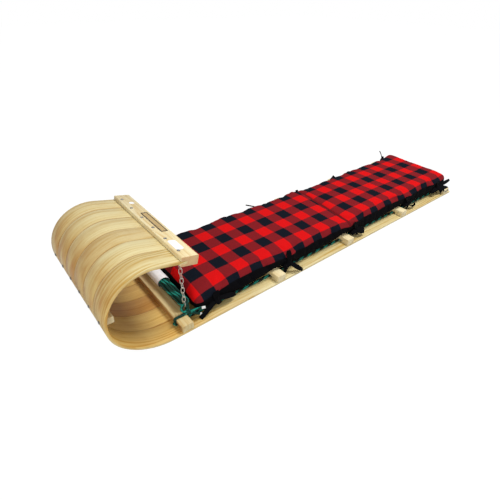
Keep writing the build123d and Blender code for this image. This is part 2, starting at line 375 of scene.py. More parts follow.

# %% [markdown]
# ## Varnished boards and slats
# Both are ash under a thin satin varnish, which the shader's coat gives. The bent boards can't use
# plain coordinates, because their grain turns with the bend, so they read an attribute called
# straight_wood: where each point was before the board was bent. A second one, board_look, has the
# golden share, the heartwood and the ring strength. A third is high at the tight bend, for patches of
# a deeper orange, and a fourth gives painted shade inside the curl. Slats lie across the sled, so
# their coordinates are turned to put the grain along X. The slat under the curl gets a darker, more
# golden copy of the slat wood and a brown front face, both painted shade from the curl above it.
# The head slat's two sawn ends get a browner wood than its sides.
# across_board runs from -1 to 1, and darkens the boards a little along their seams.

# %% Wood materials
def wood_material(name, pale, golden, bent, golden_share=0.34):
    wood, tree, shader = new_material(name, IOR=1.45, Coat_Weight=0.10, Coat_Roughness=0.20)
    look = {"Pale": pale, "Golden": golden}
    if bent:
        own = parts_of(tree, attribute(tree, "board_look", "Vector"))
        look.update({
            "Place": attribute(tree, "straight_wood", "Vector"), "Golden share": own[0],
            "Heartwood and shade": own[1], "Ring strength": own[2], "Bend orange marks": attribute(tree, "bend_orange_marks"),
            "Painted curl shade": attribute(tree, "painted_curl_shade"), "Across": attribute(tree, "across_board")})
    else:
        turn = {"Vector": own_place(tree), "Rotation": (0, 0, math.pi / 2)}
        look.update({
            "Place": add_node(tree, "Mapping", None, turn).outputs["Vector"], "Golden share": golden_share,
            # on the slats this input carries the painted shade on the first slat's front
            "Ring strength": 0.42, "Heartwood and shade": attribute(tree, "painted_front_shade")})
    grain = use_group(tree, ash_grain, look).outputs
    link_up(tree, shader, Base_Color=grain["Color"], Roughness=grain["Roughness"])
    add_bump(tree, shader, grain["Height"], 0.35, 0.0004)
    return wood


board_wood = wood_material("varnished_ash_board", (0.75, 0.66, 0.36, 1), (0.54, 0.35, 0.09, 1), True)
slat_wood = wood_material("varnished_ash_slat", (0.82, 0.71, 0.43, 1), (0.62, 0.41, 0.14, 1), False)
# the first slat's darker, more golden copy of the slat wood is painted shade from the curl above it
shaded_slat_wood = wood_material("shaded_ash_slat", (0.73, 0.63, 0.34, 1), (0.53, 0.35, 0.12, 1), False, 0.50)
end_wood = wood_material("brown_ash_end", (0.64, 0.41, 0.20, 1), (0.48, 0.24, 0.07, 1), False)
print("woods", board_wood.name, slat_wood.name, shaded_slat_wood.name, end_wood.name)

# %% [markdown]
# ## The bent boards
# A real board is planed flat, steamed and bent round a form. Here the board's rounded end face is
# made once and then drawn along the same way: extruded along the deck, spun round the wide bend,
# spun round the tight bend, and extruded into the tail. That keeps one clean strip of faces.

# %% Draw a board along its bends
def grow(bm, face, way):
    """Extrudes the end face along a vector, and gives back the new end face."""
    grown = bmesh.ops.extrude_face_region(bm, geom=[face])["geom"]
    move(bm, only(BMVert, grown), way)
    return only(BMFace, grown)[0]


def swing(bm, face, centre, angle, steps):
    """Spins the end face round an axis across the sled, and gives back the new end face."""
    geometry = [face, *face.edges, *face.verts]
    spun = bmesh.ops.spin(bm, geom=geometry, cent=centre, axis=(1, 0, 0), angle=-angle, steps=steps,
                          use_merge=False, use_duplicate=False)["geom_last"]
    return only(BMFace, spun)[0]


def unbent(point):
    """Where a point of a bent board was before bending: across, along and deep in the wood."""
    x, y, z = point
    if y > bend_start_y and z < 0.1:
        return x, y, z
    angle = math.atan2(bend_start_y - y, low_bend_radius - z)
    if 0 <= angle <= low_bend:
        reach = math.hypot(bend_start_y - y, low_bend_radius - z)
        return x, bend_start_y - low_bend_radius * angle, low_bend_radius - reach
    angle = math.atan2(curl_y - y, curl_z - z) % (2 * math.pi)
    past = bend_start_y - low_bend_radius * low_bend
    if angle <= math.pi + tail_tilt:
        reach = math.hypot(curl_y - y, curl_z - z)
        return x, past - high_bend_radius * (angle - low_bend), high_bend_radius - reach
    along = (y - curl_y) * math.cos(tail_tilt) - (z - curl_z) * math.sin(tail_tilt)
    out = (y - curl_y) * math.sin(tail_tilt) + (z - curl_z) * math.cos(tail_tilt)
    past -= high_bend_radius * (math.pi + tail_tilt - low_bend)
    return x, past - along, high_bend_radius - out


def degrees_round(point):
    """How far round the tight bend's middle a point lies, from straight below it."""
    return math.degrees(math.atan2(curl_y - point.y, curl_z - point.z) % (2 * math.pi))


def bend_orange_mark(point):
    """High where the tight bend faces forward, and nothing on the deck."""
    return 0.85 * bell(degrees_round(point) - 112, 26) if point.y < bend_start_y else 0.0


def painted_curl_shade(point):
    """Painted shade, warm and darker: all over the inside of the curl, and outside at the tight bend."""
    if point.y > bend_start_y + 0.06:
        return 0.0
    inside = unbent(point)[2] > board_thickness / 2
    return 0.86 if inside else 0.75 * bell(degrees_round(point) - 108, 40)


deck_steps, low_bend_steps, high_bend_steps = 6, 9, 32
board_edge_round = 0.0014


def make_board(number, look):
    bm = bmesh.new()
    left = board_middles[number] - board_width / 2
    bmesh.ops.create_grid(bm, x_segments=1, y_segments=1, size=0.5)
    bmesh.ops.scale(bm, verts=bm.verts, vec=(board_width, board_thickness, 1))
    bmesh.ops.rotate(bm, verts=bm.verts, cent=(0, 0, 0), matrix=Matrix.Rotation(math.pi / 2, 3, "X"))
    move(bm, bm.verts, (left + board_width / 2, rear_y, board_thickness / 2))
    round_off(bm, list(bm.verts), board_edge_round, 2, "VERTICES")
    end = bm.faces[:][0]
    for _ in range(deck_steps):
        end = grow(bm, end, (0, (bend_start_y - rear_y) / deck_steps, 0))
    end = swing(bm, end, (0, bend_start_y, low_bend_radius), low_bend, low_bend_steps)
    end = swing(bm, end, (0, curl_y, curl_z), math.pi + tail_tilt - low_bend, high_bend_steps)
    grow(bm, end, Vector((0, math.cos(tail_tilt), -math.sin(tail_tilt))) * (tail_length + groove_reach))
    bmesh.ops.recalc_face_normals(bm, faces=bm.faces)
    name = f"board_{number + 1}"
    board = finish_piece(f"ash_{name}", bm, [board_wood], [f"deck_{name}"])
    points = [v.co for v in board.data.vertices]
    shift = Vector((0.31 * number + 0.07, 0.83 * number, 0.0))
    note_vectors(board.data, "straight_wood", [Vector(unbent(point)) + shift for point in points])
    note_vectors(board.data, "board_look", [look] * len(points))
    note_numbers(board.data, "bend_orange_marks", [bend_orange_mark(point) for point in points])
    # painted shade inside the curl and round the tight bend
    note_numbers(board.data, "painted_curl_shade", [painted_curl_shade(point) for point in points])
    outer = {0: -1, 5: 1}.get(number, 0)
    across = [(point.x - left) * 2 / board_width - 1 for point in points]
    note_numbers(board.data, "across_board", [0.9 if share * outer > 0.9 else share for share in across])
    return board


# for each board: golden share, heartwood and ring strength; the third board's heartwood is partly painted
# shade inside the curl
board_looks = [(0.46, 0.30, 0.45), (0.44, 0.18, 0.40), (0.42, 0.36, 0.32), (0.60, 0.70, 0.30),
               (0.46, 0.10, 0.42), (0.54, 0.05, 0.85)]
boards = [make_board(number, look) for number, look in enumerate(board_looks)]
print("boards", len(boards), "faces each", len(boards[0].data.polygons))

# %% [markdown]
# ## Slats, head slat and nose batten
# Their CAD shapes are right, down to the rope notches and the groove that takes the boards' ends.
# A copy of each is merged into one clean solid, and its sharp edges get the small round that
# sandpaper leaves. The originals stay hidden for collision.

# %% Sanded copies of the CAD pieces
def sanded_copy(node, name, material, rounding=0.0008):
    bm = bmesh.new()
    bm.from_mesh(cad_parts[node].data)
    bmesh.ops.remove_doubles(bm, verts=bm.verts, dist=1e-6)
    bmesh.ops.dissolve_limit(bm, angle_limit=math.radians(1.0), verts=bm.verts, edges=bm.edges,
                             use_dissolve_boundaries=False, delimit=set())
    sharp = [edge for edge in bm.edges if edge.calc_face_angle(0) > math.radians(40)]
    round_off(bm, sharp, rounding, 2, clamp=True)
    return finish_piece(name, bm, [material], [node])


def front_shade_of_slat(point):
    """Painted shade: full on the front face of the first slat and less on its top, but nothing at its near
    end, which is out of the curl's shade.
    """
    behind = point.y - slat_fronts[0]
    near_end = point.x > 0.2
    return 0.0 if near_end or behind > 0.004 else 2.2 if behind < 0.0005 else 0.8


# the first slat lies in the curl's shade: its darker wood and brown front face are painted shade
first_slat = sanded_copy("cross_slat_1", "slat_1", shaded_slat_wood)
note_numbers(first_slat.data, "painted_front_shade", [front_shade_of_slat(v.co) for v in first_slat.data.vertices])
for number in range(2, 6):
    sanded_copy(f"cross_slat_{number}", f"slat_{number}", slat_wood)
head = sanded_copy("head_slat", "grooved_head_slat", slat_wood)
head.data.materials.append(end_wood)
for polygon in head.data.polygons:
    polygon.material_index = int(abs(polygon.normal.x) > 0.99)
sanded_copy("nose_batten", "curl_batten", slat_wood, 0.0007)
print("seven wooden bars sanded")

# %% [markdown]
# ## Screws and bolts
# Round-headed bolts hold the batten inside the curl, flat-headed screws hold the head slat, and
# each slat is screwed down from below, through every board. All are one turned shape: a disc whose
# rim is bevelled, with a round driver recess made by insetting the top and pushing in its middle.

# %% Metals
def metal(name, colour, roughness, wear_scale):
    """A metal with uneven roughness and faint scratches; pattern in metres."""
    material, tree, shader = new_material(name, Metallic=1.0)
    wear = noise_at(tree, own_place(tree), wear_scale, 4.0, 0.6)
    dark = (colour[0] * 0.62, colour[1] * 0.60, colour[2] * 0.56, 1)
    shade = mix_colours(tree, step_up(tree, wear, 0.45, 0.7), colour, dark)
    rough = step_up(tree, wear, 0.3, 0.7, roughness, roughness + 0.2)
    link_up(tree, shader, Base_Color=shade, Roughness=rough)
    add_bump(tree, shader, wear, 0.2, 0.0002)
    return material


zinc = metal("bright_zinc", (0.88, 0.85, 0.80, 1), 0.30, 420.0)
dull_steel = metal("dull_steel", (0.42, 0.41, 0.40, 1), 0.38, 600.0)
print("metals", zinc.name, dull_steel.name)

# %% Screw heads
def add_copies(target, source, ways):
    """Adds a copy of one bmesh to another for each matrix."""
    mesh = bpy.data.meshes.new("copied")
    source.to_mesh(mesh)
    for way in ways:
        before = len(target.verts)
        target.from_mesh(mesh)
        target.verts.ensure_lookup_table()
        bmesh.ops.transform(target, verts=target.verts[before:], matrix=way)
    bpy.data.meshes.remove(mesh)


def screw_head(radius, height):
    """A low domed head that stands on the origin, with a driver recess."""
    bm = bmesh.new()
    upright_disc(bm, radius, height, 16)
    move(bm, bm.verts, (0, 0, height / 2))
    rim = [edge for edge in bm.edges if all(vert.co.z > height * 0.9 for vert in edge.verts)]
    round_off(bm, rim, height * 0.7, 3)
    top = top_face(bm)
    sink(bm, top, radius * 0.30)
    sink(bm, top, radius * 0.10, height * 0.45)
    return bm


def stand_at(place, out):
    """The matrix that stands a head on a place, pointing out."""
    turn = Vector(out).to_track_quat("Z", "Y").to_matrix().to_4x4()
    return Matrix.Translation(place) @ turn


def heads_at(name, radius, height, ways):
    head, heads = screw_head(radius, height), bmesh.new()
    add_copies(heads, head, ways)
    head.free()
    finish_piece(name, heads, [dull_steel])


def along_tail(distance, out):
    """Y and Z of a place along the tail, from where the bend ends, and out from the boards."""
    y = curl_y - high_bend_radius * math.sin(math.pi + tail_tilt) + distance * math.cos(tail_tilt)
    z = curl_z - high_bend_radius * math.cos(math.pi + tail_tilt) - distance * math.sin(tail_tilt)
    return y + out * math.sin(tail_tilt), z + out * math.cos(tail_tilt)


tail_out = Vector((0, math.sin(tail_tilt), math.cos(tail_tilt)))
batten_angle = math.radians(91)
nose_out = Vector((0, -math.sin(batten_angle), -math.cos(batten_angle)))
nose = Vector((0, curl_y, curl_z)) + nose_out * high_bend_radius
screw_row = along_tail(tail_length + 0.012, head_lip)
heads_at("head_slat_screws", 0.0052, 0.0011,
         [stand_at((x, *screw_row), tail_out) for x in board_middles])
heads_at("curl_bolts", 0.0050, 0.0030,
         [stand_at((x, nose.y, nose.z), nose_out) for x in board_middles])
heads_at("slat_screws_below", 0.0040, 0.0004,
         [stand_at((x, front + slat_width / 2, 0.0002), (0, 0, -1))
          for front in slat_fronts for x in board_middles])
print("screw and bolt heads", len(board_middles) * (2 + len(slat_fronts)))

# %% [markdown]
# ## The blank name plate and the paper labels
# A bronze plate with a dark raised border is pinned to the head slat, and two plain white paper
# labels sit beside it. All are left blank. The plate's rim comes from one inset, which leaves the
# field lower than the border.

# %% Plate and label materials
def make_plate_bronze():
    bronze, tree, shader = new_material("aged_bronze_plate", Metallic=0.45)
    place = own_place(tree)
    brushed = noise_at(tree, vector_sum(tree, "MULTIPLY", place, (60.0, 1400.0, 400.0)), 1.0, 4.0)
    stain = noise_at(tree, place, 90.0, 3.0)
    colour = mix_colours(tree, brushed, (0.78, 0.57, 0.26, 1), (0.56, 0.38, 0.16, 1))
    colour = mix_colours(tree, step_up(tree, stain, 0.5, 0.75, 0.0, 0.45), colour, (0.34, 0.22, 0.11, 1))
    rough = step_up(tree, brushed, 0.3, 0.7, 0.38, 0.55)
    link_up(tree, shader, Base_Color=colour, Roughness=rough)
    add_bump(tree, shader, brushed, 0.15, 0.0002)
    return bronze


def matt_material(name, first, second, scale, roughness):
    """A matt surface whose colour drifts between two shades."""
    matt, tree, shader = new_material(name, Roughness=roughness)
    drift = noise_at(tree, own_place(tree), scale, 5.0, 0.6)
    link_up(tree, shader, Base_Color=mix_colours(tree, drift, first, second))
    add_bump(tree, shader, drift, 0.3, 0.0002)
    return matt


plate_bronze = make_plate_bronze()
plate_border = matt_material("dark_plate_border", (0.035, 0.022, 0.014, 1), (0.07, 0.045, 0.03, 1),
                             500.0, 0.35)
label_paper = matt_material("white_label_paper", (0.91, 0.91, 0.92, 1), (0.86, 0.86, 0.88, 1), 260.0, 0.5)
print("plate and label finishes", plate_bronze.name, label_paper.name)

# %% Plate and labels
on_head_slat = Matrix.Translation((0, *along_tail(tail_length, head_lip)))
on_head_slat @= Matrix.Rotation(-tail_tilt, 4, "X")


def flat_block(name, middle, size, corner, materials, stands_for=(), rim=0.0):
    """A low block on the head slat's top, whose place is across and back from the front edge."""
    bm = bmesh.new()
    made = bmesh.ops.create_cube(bm, size=1)["verts"]
    bmesh.ops.scale(bm, verts=made, vec=size)
    move(bm, made, (*middle, size[2] / 2 - 0.0001))
    round_off(bm, [edge for edge in bm.edges if rise(edge) > 1e-5], corner, 5)
    if rim:
        top = top_face(bm)
        sink(bm, top, rim)
        sink(bm, top, 0.0004, 0.0004)
        for face in bm.faces:
            face.material_index = 0 if face == top else 1
    bmesh.ops.transform(bm, verts=bm.verts, matrix=on_head_slat)
    finish_piece(name, bm, materials, stands_for)


flat_block("blank_name_plate", (0.001, 0.033), (0.142, 0.022, 0.0012), 0.0015,
           [plate_bronze, plate_border], ["name_plate"], rim=0.0029)
flat_block("blank_label", (0.1575, 0.0215), (0.058, 0.026, 0.00025), 0.008, [label_paper])
flat_block("blank_round_label", (-0.156, 0.031), (0.018, 0.018, 0.00025), 0.00899, [label_paper])
heads_at("plate_pins", 0.0016, 0.0009,
         [on_head_slat @ Matrix.Translation((x, 0.033, 0.0006)) for x in (-0.0655, 0.0675)])
print("plate 142 x 22 mm, two labels")

# %% [markdown]
# ## Chains and screw eyes
# A link is a wire bent into a long ring: half a turn, a straight leg, half a turn and a leg back.
# Drawn with spin and extrude, its round section stays even. Links hang by turns across and along,
# each through the next, from the eye under the head slat to the rope's loop on the first slat.

# %% Draw a link
link_count, link_pitch, first_link_z = 9, 0.018090, 0.222666
link_inner, link_inner_width, chain_wire = 0.018290, 0.0084, 0.0021
chain_x, chain_y, eye_top_z = 0.1846, -0.66685, 0.25011


def draw_out(bm, edges, way):
    """Extrudes a line of edges along a vector, and gives back the new line."""
    grown = bmesh.ops.extrude_edge_only(bm, edges=edges)["geom"]
    points = set(only(BMVert, grown))
    move(bm, list(points), way)
    return [edge for edge in only(BMEdge, grown) if set(edge.verts) <= points]


def wire_ring(bm, bend, leg, wire, sides, steps):
    """A ring of wire in the XZ plane round the origin, with straight legs along Z."""
    made = bmesh.ops.create_circle(bm, cap_ends=False, segments=sides, radius=wire / 2)["verts"]
    move(bm, made, (bend, 0, -leg / 2))
    edges = list({edge for vert in made for edge in vert.link_edges})
    for way in (1, -1):
        if leg:
            edges = draw_out(bm, edges, (0, 0, leg * way))
        geometry = edges + list({vert for edge in edges for vert in edge.verts})
        spun = bmesh.ops.spin(bm, geom=geometry, cent=(0, 0, leg / 2 * way), axis=(0, -1, 0),
                              angle=math.pi, steps=steps, use_merge=False, use_duplicate=False)
        edges = only(BMEdge, spun["geom_last"])
    bmesh.ops.remove_doubles(bm, verts=bm.verts, dist=1e-6)
    bmesh.ops.recalc_face_normals(bm, faces=bm.faces)


def make_chain(name, side):
    link = bmesh.new()
    bend = link_inner_width / 2 + chain_wire / 2
    wire_ring(link, bend, link_inner - link_inner_width, chain_wire, 8, 8)
    ways = []
    for number in range(link_count):
        turn = math.pi / 2 * ((link_count - 1 - number) % 2)
        place = Matrix.Translation((side * chain_x, chain_y, first_link_z - number * link_pitch))
        ways.append(place @ Matrix.Rotation(turn, 4, "Z"))
    chain = bmesh.new()
    add_copies(chain, link, ways)
    link.free()
    return finish_piece(f"{name}_chain", chain, [zinc], [f"chain_{name}"], 80)


chains = [make_chain("left", 1), make_chain("right", -1)]
print("links a side", link_count, "faces a chain", len(chains[0].data.polygons))

# %% Screw eyes
eye_wire, eye_bend = 0.0030, 0.0060
ring = bmesh.new()
wire_ring(ring, eye_bend, 0.0, eye_wire, 10, 12)
neck = upright_disc(ring, eye_wire / 2, 0.009, 10)
move(ring, neck, (0, 0, 0.0105))
washer = upright_disc(ring, eye_wire, 0.0008, 16)
move(ring, washer, (0, 0, 0.0106))
eyes = bmesh.new()
eye_turn = Matrix.Rotation(math.pi / 2, 4, "Z")
add_copies(eyes, ring, [Matrix.Translation((side * chain_x, chain_y, eye_top_z - 0.011)) @ eye_turn
                        for side in (1, -1)])
ring.free()
finish_piece("chain_eyes", eyes, [zinc], ["screw_eyes"], 50)
print("two screw eyes")

# %% [markdown]
# ## Ropes
# The ropes are braids: the side ropes are 9.6 mm thick, in green and black, and the tow rope is
# 8.6 mm thick, in two greens. A rope is a NURBS curve with a round bevel, made into a mesh. The
# mesh's rings come in order along the curve, so each point can be told how far along the rope it
# is and where it lies around it. The braid is drawn from that, and it stays on through every bend.

# %% Braided rope materials
def make_braid(name, base, tracer, tracer_share, pitch):
    """A braid of 8 + 8 strands; the tracer strands wind round it once in each pitch."""
    braid, tree, shader = new_material(name, Specular_IOR_Level=0.25)
    lay, strands = attribute(tree, "rope_lay", "Vector"), 8.0
    split = parts_of(tree, lay)
    turn = work_out(tree, "ARCTAN2", split["Y"], split["X"])
    around = work_out(tree, "DIVIDE", turn, 2 * math.pi)
    along = work_out(tree, "DIVIDE", split["Z"], pitch)
    right_lay = plus(tree, around, along)
    strand_right = times(tree, right_lay, strands)
    strand_left = times(tree, minus(tree, around, along), strands)
    crossing = plus(tree, work_out(tree, "FLOOR", strand_right), work_out(tree, "FLOOR", strand_left))
    right_on_top = work_out(tree, "FLOORED_MODULO", crossing, 2.0)
    off = size_of(tree, minus(tree, work_out(tree, "FRACT", right_lay), 0.5))
    in_tracer = step_up(tree, off, tracer_share / 2 + 0.02, tracer_share / 2 - 0.02)
    fibres = noise_at(tree, vector_sum(tree, "MULTIPLY", lay, (9.0, 9.0, 700.0)), 1.0, 2.0)
    dull = mix_colours(tree, 1.0, tracer, (0.75, 0.55, 0.55, 1), "MULTIPLY")
    colour = mix_colours(tree, in_tracer, base, mix_colours(tree, fibres, tracer, dull))
    # painted shade: strands of the left lay are darkened as if they lay lower in the braid
    painted_shade_strands = mix_colours(tree, 1.0, colour, (0.55, 0.66, 0.66, 1), "MULTIPLY")
    link_up(tree, shader, Base_Color=mix_colours(tree, right_on_top, painted_shade_strands, colour),
            Roughness=plus(tree, 0.34, times(tree, fibres, 0.22)))
    ridge_right = size_of(tree, work_out(tree, "SINE", times(tree, strand_right, math.pi)))
    ridge_left = size_of(tree, work_out(tree, "SINE", times(tree, strand_left, math.pi)))
    ridge_right = times(tree, ridge_right, right_on_top)
    ridge_left = times(tree, ridge_left, minus(tree, 1.0, right_on_top))
    add_bump(tree, shader, plus(tree, ridge_right, ridge_left), 0.8, 0.0009)
    return braid


side_braid = make_braid("green_and_black_braid", (0.003, 0.010, 0.010, 1), (0.020, 0.38, 0.29, 1),
                        0.46, 0.046)
tow_braid = make_braid("green_braid", (0.003, 0.050, 0.036, 1), (0.018, 0.42, 0.32, 1), 0.24, 0.080)
tape_white = matt_material("white_whipping_tape", (0.85, 0.85, 0.84, 1), (0.70, 0.70, 0.69, 1), 500.0, 0.5)
print("rope finishes", side_braid.name, tow_braid.name, tape_white.name)

# %% Rope from a route
rope_radius, side_rope_radius, rope_sides = 0.0043, 0.0048, 14


def route_curve(name, route, closed=False):
    """A NURBS curve whose control points are the route's points."""
    curve = bpy.data.curves.new(name, "CURVE")
    curve.dimensions = "3D"
    curve.twist_mode = "MINIMUM"
    spline = curve.splines.new("NURBS")
    spline.points.add(len(route) - 1)
    for point, place in zip(spline.points, route):
        point.co = (*place, 1)
    spline.order_u = 3
    spline.use_endpoint_u = not closed
    spline.use_cyclic_u = closed
    spline.resolution_u = 8
    return curve


def rope_along(name, route, braid, stands_for=(), closed=False, radius=rope_radius, start=0.0):
    """A braided rope along a route: the piece, and the middles of its rings."""
    curve = route_curve(name, route, closed)
    curve.bevel_depth, curve.bevel_resolution = radius, (rope_sides - 4) // 2
    mesh = mesh_of(curve)
    rings = len(mesh.vertices) // rope_sides
    points = [v.co.copy() for v in mesh.vertices]
    middles = [sum(points[ring * rope_sides:(ring + 1) * rope_sides], Vector()) / rope_sides
               for ring in range(rings)]
    along, lay = start, []
    for ring, middle in enumerate(middles):
        along += (middle - middles[max(ring - 1, 0)]).length
        for side in range(rope_sides):
            turn = 2 * math.pi * side / rope_sides
            lay.append((math.cos(turn), math.sin(turn), along))
    note_vectors(mesh, "rope_lay", lay)
    bm = bmesh.new()
    bm.from_mesh(mesh)
    bpy.data.meshes.remove(mesh)
    if not closed:
        rims = [edge for edge in bm.edges if edge.is_boundary]
        caps = bmesh.ops.edgeloop_fill(bm, edges=rims)["faces"]
        round_off(bm, [edge for face in caps for edge in face.edges], radius * 0.35, 2)
    bmesh.ops.recalc_face_normals(bm, faces=bm.faces)
    piece = finish_piece(name, bm, [braid], stands_for, 60)
    return piece, middles


def length_of(line):
    return sum((b - a).length for a, b in zip(line, line[1:]))

# %% [markdown]
# ## Side ropes
# A rope runs along each side through the slats' notches, as a handhold, and ends in a stopper knot
# behind the last slat. It sways sideways between slats by a few millimetres, so its route has a
# point at each slat and two between. Knots are two tight turns of the same rope, tilted apart.

# %% Side ropes and knots
def knot(name, middle, radius, tilts, start, braid):
    """Turns of rope round one point, as one piece."""
    bm = bmesh.new()
    for number, tilt in enumerate(tilts):
        turn = Vector(tilt).to_track_quat("Z", "Y")
        ring = [Vector(middle) + turn @ Vector((radius * math.cos(a), radius * math.sin(a), 0))
                for a in [2 * math.pi * corner / 8 for corner in range(8)]]
        piece, _ = rope_along(f"{name}_turn_{number}", ring, braid, closed=True, start=start)
        bm.from_mesh(piece.data)
        bpy.data.objects.remove(piece)
    return finish_piece(name, bm, [braid], (), 80)


def side_rope(name, side):
    x, outer, z = side * 0.1793, side * 0.1815, 0.0133
    half_slat, last = slat_width / 2, slat_fronts[-1]
    route = [(x, slat_fronts[0] - 0.008, z), (x, slat_fronts[0] + half_slat, z)]
    for number, front in enumerate(slat_fronts[1:]):
        sway = side * 0.0018 * (math.sin(2.3 * number + side) - 1.6)
        route.append((outer + sway, front - 0.27, z + 0.0004))
        route.append((outer + sway * 0.5, front - 0.12, z + 0.0002))
        route.append((outer, front + half_slat, z))
    route.append((outer, last + 0.046, z))
    _, line = rope_along(f"{name}_side_rope", route, side_braid, [f"side_rope_{name}"],
                         radius=side_rope_radius)
    knot(f"{name}_stopper_knot", (outer, last + 0.0475, 0.0185), 0.0058,
         [(0.3, 1, 0.25), (-0.6, 1, -0.35)], 0.3, side_braid)
    return length_of(line)


print("side ropes", [round(side_rope(name, side), 3) for name, side in (("left", 1), ("right", -1))], "m")

# %% [markdown]
# ## The lashing on the first slat
# Each lashing starts in a tail, goes through its knot, stands up in a loop that holds the chain's
# last link, goes down behind the slat, forward through the notch, up and back over the slat, and
# ends in a second tail. Round the slat's edges its route has points close on both sides of a corner.

# %% Lashings
knot_place = Vector((0.18625, -0.65747, 0.04193))


def lashing(name, side):
    route = [
        (0.2137, -0.6115, 0.0539), (0.2035, -0.6285, 0.0500), (0.1935, -0.6460, 0.0445),
        (0.1865, -0.6560, 0.0440), (0.1850, -0.6556, 0.0520), (0.1846, -0.6556, 0.0732),
        (0.1846, -0.6781, 0.0732), (0.1846, -0.6781, 0.0510), (0.1856, -0.6670, 0.0450),
        (0.1866, -0.6560, 0.0430), (0.1879, -0.6598, 0.0360), (0.1879, -0.6600, 0.0200),
        (0.1879, -0.6601, 0.0133), (0.1879, -0.6680, 0.0133), (0.1879, -0.6990, 0.0133),
        (0.1879, -0.7067, 0.0133), (0.1879, -0.7068, 0.0200), (0.1879, -0.7068, 0.0320),
        (0.1879, -0.7067, 0.0393), (0.1879, -0.6985, 0.0395), (0.1879, -0.6700, 0.0395),
        (0.1870, -0.6580, 0.0420), (0.1920, -0.6480, 0.0355), (0.2040, -0.6165, 0.0185)]
    rope, line = rope_along(f"{name}_lashing", mirrored(route, side), tow_braid, [f"lashing_{name}"])
    middle = mirrored([knot_place], side)[0]
    wraps = knot(f"{name}_tow_knot", middle, 0.0062, [(side * 0.4, 0.5, 1), (side * -0.7, 0.6, 0.3)],
                 0.1, tow_braid)
    tips = bmesh.new()
    for end, before in ((line[0], line[2]), (line[-1], line[-3])):
        sleeve = upright_disc(tips, 0.0045, 0.012, 18, rope_radius)
        way = stand_at(end, end - before) @ Matrix.Translation((0, 0, -0.005))
        bmesh.ops.transform(tips, verts=sleeve, matrix=way)
    rims = [edge for edge in tips.edges if edge.calc_face_angle(0) > 1]
    round_off(tips, rims, 0.0012, 3)
    ends = finish_piece(f"{name}_rope_tips", tips, [tape_white])
    return [rope, wraps, ends]


lashed = lashing("left", 1) + lashing("right", -1)
print("lashing pieces", [piece.name for piece in lashed])

# %% [markdown]
# ## The tow rope, folded in a hank
# The rope is one length, laid to and fro eleven times, which makes a bundle about 44 mm across. Each
# run has its own seat in the bundle, and runs that follow each other lie apart, so that the folds at
# the ends stay open. Small shifts from noise keep the hank from looking machined.

# %% Tow rope
hank_y, hank_z, hank_spread = -0.6570, 0.05520, 0.00116
seats = [(4.1, -10.65), (-4.1, 3.55), (12.3, 3.55), (-4.1, -10.65), (1.0, 10.65), (0.0, -3.55),
         (-12.3, 3.55), (4.1, 3.55), (-7.2, 10.65), (8.2, -3.55), (-8.2, -3.55)]


def hank_route():
    route = [knot_place.copy(), Vector((0.174, -0.6565, 0.0420))]
    for number, (back, up) in enumerate(seats):
        way = 1 if number % 2 == 0 else -1
        seat = Vector((0, hank_y + back * hank_spread, hank_z + up * hank_spread))
        stagger = 0.004 * noise_of(number * 1.7, 0.3, 0.0)
        for x in (0.157 + stagger, 0.138, 0.085, 0.022, -0.118, -0.138, -0.157 + stagger):
            shift = Vector((x * 7, number * 3.1, 0.5))
            loose = 0.0016 if abs(x) < 0.15 else 0.0
            wander = Vector((0, noise.noise(shift), noise.noise(shift + Vector((9, 4, 2))))) * loose
            reach = max(x * way - 0.10, 0.0) * 5.0
            route.append(seat + Vector((x * way + 0.040 * reach, 0, 0.018 * reach)) + wander)
    route += [Vector((-0.174, -0.6590, 0.0440)), mirrored([knot_place], -1)[0]]
    return route


tow_rope, tow_line = rope_along("tow_rope", hank_route(), tow_braid,
                                ["tow_rope_hank", "tow_lead_left", "tow_lead_right"])
print("tow rope", round(length_of(tow_line), 2), "m")

# %% [markdown]
# ## The paper band
# A band of stiff white paper keeps the hank together. It is a tube drawn along the hank, dented a
# little by the strands below it, and it is given a wall as thick as card.

# %% Paper band
band_start, band_steps, band_step = -0.118, 21, 0.007
band_half_width, band_half_height, paper_wall = 0.0224, 0.0194, 0.0004


def paper_band():
    bm = bmesh.new()
    ring = bmesh.ops.create_circle(bm, cap_ends=False, segments=56, radius=1.0)["verts"]
    bmesh.ops.scale(bm, verts=ring, vec=(band_half_width, band_half_height, 1))
    bmesh.ops.rotate(bm, verts=ring, cent=(0, 0, 0), matrix=Matrix(((0, 0, 1), (1, 0, 0), (0, 1, 0))))
    move(bm, ring, (band_start, hank_y, hank_z))
    edges = list(bm.edges)
    for _ in range(band_steps):
        edges = draw_out(bm, edges, (band_step, 0, 0))
    for vert in bm.verts:
        out = Vector((0, vert.co.y - hank_y, vert.co.z - hank_z)).normalized()
        dent = noise_of(vert.co.x * 14, out.y * 3, out.z * 3) * 0.0008
        vert.co += out * (dent - 0.0002)
    bmesh.ops.recalc_face_normals(bm, faces=bm.faces)
    bmesh.ops.solidify(bm, geom=bm.faces, thickness=paper_wall)
    return finish_piece("paper_band", bm, [label_paper], ["paper_sleeve"], 60)


band = paper_band()
print("band on the hank")

# %% [markdown]
# ## Cloth for the cushion
# The cover is red and black checked wool with a black base. In such a check the stripes run both
# ways: two red stripes cross as bright red, two black ones as black, and a red with a black as dark
# red. The material reads where each point was on the flat cloth before the cushion was stuffed.

